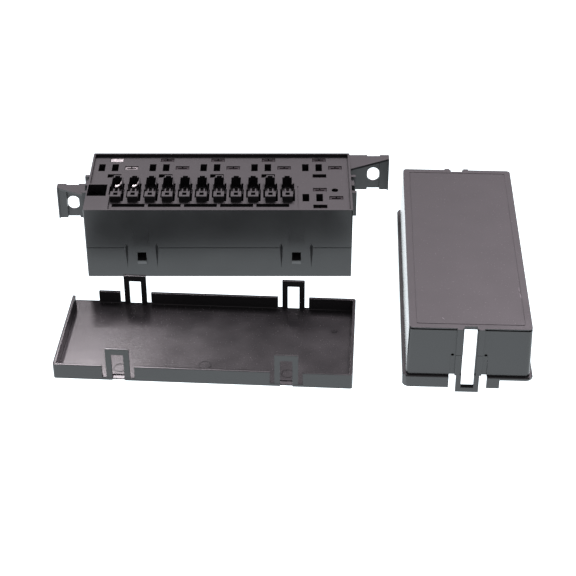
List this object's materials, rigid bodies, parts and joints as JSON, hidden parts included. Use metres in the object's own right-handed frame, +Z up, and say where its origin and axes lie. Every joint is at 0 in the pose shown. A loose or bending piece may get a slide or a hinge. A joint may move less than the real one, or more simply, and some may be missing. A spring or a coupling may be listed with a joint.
{
  "type": "vehicle fuse and relay box",
  "caption": "Open vehicle fuse and relay box laid out in three mouldings: a terminal housing with fuse seats, relay slots and mounting ears, a shallow latching tray and a deep strapped lid.",
  "frame": {"origin": "bottom centre of the three pieces as they lie on the bench", "axes": "+X along the housing to its upper ear, +Y to the housing's back wall, +Z up"},
  "size_m": [0.2776, 0.1776, 0.0475],
  "materials": {
    "housing_plastic": "moulded black, satin",
    "tray_plastic": "moulded black, semi-gloss floor",
    "lid_plastic": "moulded black, fine grain",
    "terminal_metal": "tin plate on brass"
  },
  "bodies": {
    "housing": {"housing": "housing_plastic", "relay_1_terminal_87": "terminal_metal", "relay_1_terminal_30": "terminal_metal", "relay_1_terminal_86": "terminal_metal", "relay_1_terminal_85": "terminal_metal", "relay_2_terminal_87": "terminal_metal", "relay_2_terminal_30": "terminal_metal", "relay_2_terminal_86": "terminal_metal", "relay_2_terminal_85": "terminal_metal", "relay_3_terminal_87": "terminal_metal", "relay_3_terminal_30": "terminal_metal", "relay_3_terminal_86": "terminal_metal", "relay_3_terminal_85": "terminal_metal", "relay_4_terminal_87": "terminal_metal", "relay_4_terminal_30": "terminal_metal", "relay_4_terminal_86": "terminal_metal", "relay_4_terminal_85": "terminal_metal", "relay_5_terminal_87": "terminal_metal", "relay_5_terminal_30": "terminal_metal", "relay_5_terminal_86": "terminal_metal", "relay_5_terminal_85": "terminal_metal", "relay_6_terminal_87": "terminal_metal", "relay_6_terminal_30": "terminal_metal", "relay_6_terminal_86": "terminal_metal", "relay_6_terminal_85": "terminal_metal", "fuse_1_terminal_rear": "terminal_metal", "fuse_1_terminal_front": "terminal_metal", "fuse_2_terminal_rear": "terminal_metal", "fuse_2_terminal_front": "terminal_metal", "fuse_3_terminal_rear": "terminal_metal", "fuse_3_terminal_front": "terminal_metal", "fuse_4_terminal_rear": "terminal_metal", "fuse_4_terminal_front": "terminal_metal", "fuse_5_terminal_rear": "terminal_metal", "fuse_5_terminal_front": "terminal_metal", "fuse_6_terminal_rear": "terminal_metal", "fuse_6_terminal_front": "terminal_metal", "fuse_7_terminal_rear": "terminal_metal", "fuse_7_terminal_front": "terminal_metal", "fuse_8_terminal_rear": "terminal_metal", "fuse_8_terminal_front": "terminal_metal", "fuse_9_terminal_rear": "terminal_metal", "fuse_9_terminal_front": "terminal_metal", "fuse_10_terminal_rear": "terminal_metal", "fuse_10_terminal_front": "terminal_metal", "fuse_11_terminal_rear": "terminal_metal", "fuse_11_terminal_front": "terminal_metal"},
    "lid": {"lid": "lid_plastic"},
    "bottom_tray": {"bottom_tray": "tray_plastic"},
    "tray_latch_front_left": {"tray_latch_front_left": "tray_plastic"},
    "tray_latch_front_right": {"tray_latch_front_right": "tray_plastic"},
    "tray_latch_back_left": {"tray_latch_back_left": "tray_plastic"},
    "tray_latch_back_right": {"tray_latch_back_right": "tray_plastic"},
    "lid_strap_near": {"lid_strap_near": "lid_plastic"},
    "lid_strap_far": {"lid_strap_far": "lid_plastic"}
  },
  "joints": [
    {"name": "lid_lift", "type": "slide", "parent": "housing", "child": "lid", "axis": [0, 0, 1], "range_m": [0, 0.06]},
    {"name": "tray_lift", "type": "slide", "parent": "housing", "child": "bottom_tray", "axis": [0, 0, 1], "range_m": [0, 0.04]},
    {"name": "tray_latch_front_left_flex", "type": "hinge", "parent": "bottom_tray", "child": "tray_latch_front_left", "pos_m": [-0.08803, -0.07564, 0.002], "axis": [0.9982, -0.0593, 0], "range_deg": [0, 12], "stiffness_Nm_per_rad": 0.05},
    {"name": "tray_latch_front_right_flex", "type": "hinge", "parent": "bottom_tray", "child": "tray_latch_front_right", "pos_m": [0.00201, -0.08099, 0.002], "axis": [0.9982, -0.0593, 0], "range_deg": [0, 12], "stiffness_Nm_per_rad": 0.05},
    {"name": "tray_latch_back_left_flex", "type": "hinge", "parent": "bottom_tray", "child": "tray_latch_back_left", "pos_m": [-0.08395, -0.00696, 0.002], "axis": [-0.9982, 0.0593, 0], "range_deg": [0, 12], "stiffness_Nm_per_rad": 0.05},
    {"name": "tray_latch_back_right_flex", "type": "hinge", "parent": "bottom_tray", "child": "tray_latch_back_right", "pos_m": [0.00609, -0.01231, 0.002], "axis": [-0.9982, 0.0593, 0], "range_deg": [0, 12], "stiffness_Nm_per_rad": 0.05},
    {"name": "lid_strap_near_flex", "type": "hinge", "parent": "lid", "child": "lid_strap_near", "pos_m": [0.09791, -0.08491, 0.024], "axis": [-0.9992, 0.0401, 0], "range_deg": [0, 10], "stiffness_Nm_per_rad": 0.08},
    {"name": "lid_strap_far_flex", "type": "hinge", "parent": "lid", "child": "lid_strap_far", "pos_m": [0.10435, 0.07556, 0.024], "axis": [0.9992, -0.0401, 0], "range_deg": [0, 10], "stiffness_Nm_per_rad": 0.08}
  ]
}
